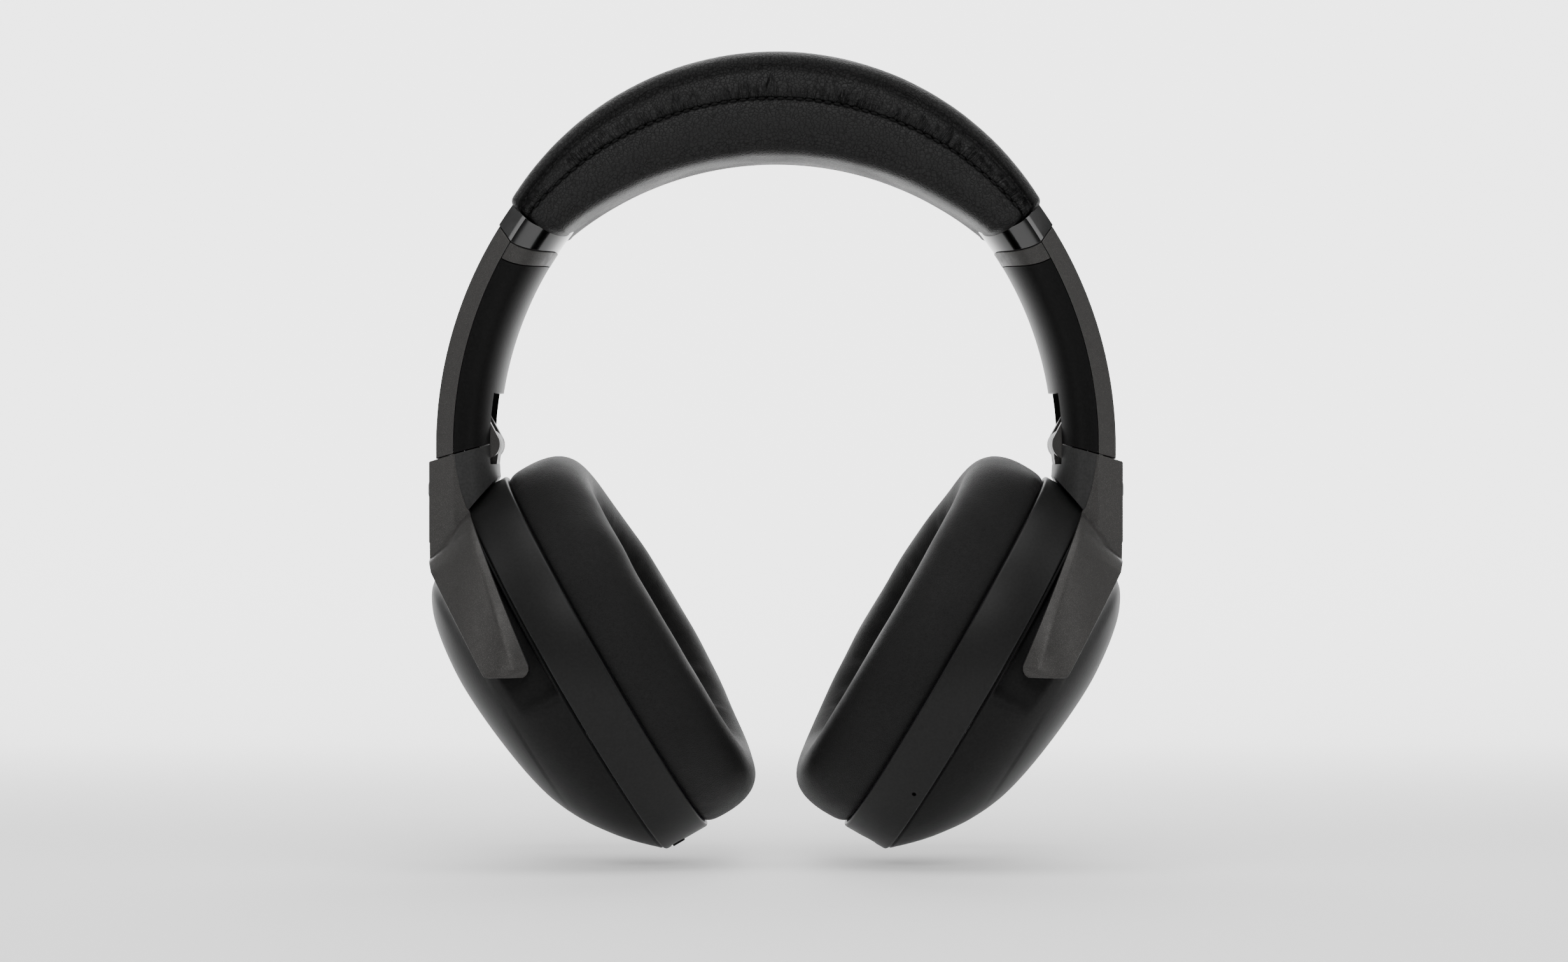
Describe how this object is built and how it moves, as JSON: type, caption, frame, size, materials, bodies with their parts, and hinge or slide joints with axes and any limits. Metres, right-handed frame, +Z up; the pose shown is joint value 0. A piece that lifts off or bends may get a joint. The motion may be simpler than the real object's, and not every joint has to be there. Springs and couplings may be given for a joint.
{
  "type": "over-ear wireless headset",
  "caption": "Over-ear wireless headset with a padded sprung headband, sliding and folding arms, and tilting ear cups in forks.",
  "frame": {"origin": "middle of the headband pad's underside, where it rests on the head", "axes": "+Z up, +X towards image right (the wearer's left ear), -Y the front"},
  "size_m": [0.1724, 0.084, 0.1987],
  "materials": {
    "leather": "grained leather, satin",
    "cushion_leather": "fine grained protein leather",
    "foam": "open foam",
    "frame_plastic": "moulded",
    "spring_steel": "brushed",
    "dark_chrome": "dark gloss plating",
    "gunmetal_paint": "speckled metallic paint",
    "soft_touch": "soft touch",
    "belly_grey": "satin",
    "gloss_black": "gloss",
    "shell_plastic": "fine matt texture",
    "ring_plastic": "satin",
    "pin_steel": "turned",
    "scrim": "woven mesh",
    "cone": "paper cone",
    "board": "solder mask",
    "battery_foil": "foil pouch",
    "key_rubber": "matt"
  },
  "bodies": {
    "headband": {"headband_cover": "leather", "headband_foam": "foam", "headband_frame": "frame_plastic", "spring_band": "spring_steel"},
    "collar_left": {"collar_l": "dark_chrome", "slide_strip_l": "spring_steel"},
    "arm_left": {"arm_frame_l": "gunmetal_paint", "arm_liner_l": "soft_touch", "arm_cover_l": "gloss_black", "slide_guide_l": "frame_plastic", "fold_pin_l": "pin_steel"},
    "fork_left": {"fork_l": "gunmetal_paint", "fork_trim_l": "gloss_black", "fork_liner_l": "belly_grey"},
    "cup_left": {"pivot_pins_l": "pin_steel", "cup_shell_l": "shell_plastic", "cup_ring_l": "ring_plastic", "baffle_l": "frame_plastic", "driver_l": "cone", "driver_magnet_l": "pin_steel", "cushion_l": "cushion_leather", "cushion_plate_l": "frame_plastic", "ear_scrim_l": "scrim", "cup_screws_l": "pin_steel", "battery": "battery_foil"},
    "collar_right": {"collar_r": "dark_chrome", "slide_strip_r": "spring_steel"},
    "arm_right": {"arm_frame_r": "gunmetal_paint", "arm_liner_r": "soft_touch", "arm_cover_r": "gloss_black", "slide_guide_r": "frame_plastic", "fold_pin_r": "pin_steel"},
    "fork_right": {"fork_r": "gunmetal_paint", "fork_trim_r": "gloss_black", "fork_liner_r": "belly_grey"},
    "cup_right": {"pivot_pins_r": "pin_steel", "cup_shell_r": "shell_plastic", "cup_ring_r": "ring_plastic", "baffle_r": "frame_plastic", "driver_r": "cone", "driver_magnet_r": "pin_steel", "cushion_r": "cushion_leather", "cushion_plate_r": "frame_plastic", "ear_scrim_r": "scrim", "cup_screws_r": "pin_steel", "main_board": "board", "usb_socket": "pin_steel", "audio_jack": "frame_plastic"},
    "mode_switch": {"mode_switch": "key_rubber"},
    "power_button": {"power_button": "key_rubber"},
    "volume_up": {"volume_up_key": "key_rubber"},
    "volume_down": {"volume_down_key": "key_rubber"}
  },
  "joints": [
    {"name": "band_flex_left", "type": "hinge", "parent": "headband", "child": "collar_left", "pos_m": [-0.0545, 0, -0.0073], "axis": [0, 1, 0], "range_deg": [0, 18]},
    {"name": "slide_left", "type": "slide", "parent": "collar_left", "child": "arm_left", "axis": [-0.3256, 0, -0.9455], "range_m": [0, 0.025]},
    {"name": "fold_left", "type": "hinge", "parent": "arm_left", "child": "fork_left", "pos_m": [-0.0726, 0, -0.0712], "axis": [0, 1, 0], "range_deg": [-70, 0]},
    {"name": "tilt_left", "type": "hinge", "parent": "fork_left", "child": "cup_left", "pos_m": [-0.06544, 0, -0.12265], "axis": [0, 1, 0], "range_deg": [-3, 12]},
    {"name": "band_flex_right", "type": "hinge", "parent": "headband", "child": "collar_right", "pos_m": [0.0545, 0, -0.0073], "axis": [0, 1, 0], "range_deg": [-18, 0]},
    {"name": "slide_right", "type": "slide", "parent": "collar_right", "child": "arm_right", "axis": [0.3256, 0, -0.9455], "range_m": [0, 0.025]},
    {"name": "fold_right", "type": "hinge", "parent": "arm_right", "child": "fork_right", "pos_m": [0.0726, 0, -0.0712], "axis": [0, 1, 0], "range_deg": [0, 70]},
    {"name": "tilt_right", "type": "hinge", "parent": "fork_right", "child": "cup_right", "pos_m": [0.06544, 0, -0.12265], "axis": [0, 1, 0], "range_deg": [-12, 3]},
    {"name": "mode_switch_slide", "type": "slide", "parent": "cup_left", "child": "mode_switch", "axis": [0, 1, 0], "range_m": [-0.002, 0.002]},
    {"name": "power_button_press", "type": "slide", "parent": "cup_left", "child": "power_button", "axis": [-0.2192, -0.8988, 0.3796], "range_m": [0, 0.0006], "stiffness_N_per_m": 900},
    {"name": "volume_up_press", "type": "slide", "parent": "cup_right", "child": "volume_up", "axis": [0.1873, -0.9272, 0.3244], "range_m": [0, 0.0006], "stiffness_N_per_m": 900},
    {"name": "volume_down_press", "type": "slide", "parent": "cup_right", "child": "volume_down", "axis": [0.2796, -0.829, 0.4843], "range_m": [0, 0.0006], "stiffness_N_per_m": 900}
  ],
  "couplings": [
    {"joint": "band_flex_left", "follows": "fold_left", "ratio": -0.25},
    {"joint": "band_flex_right", "follows": "fold_right", "ratio": -0.25}
  ]
}
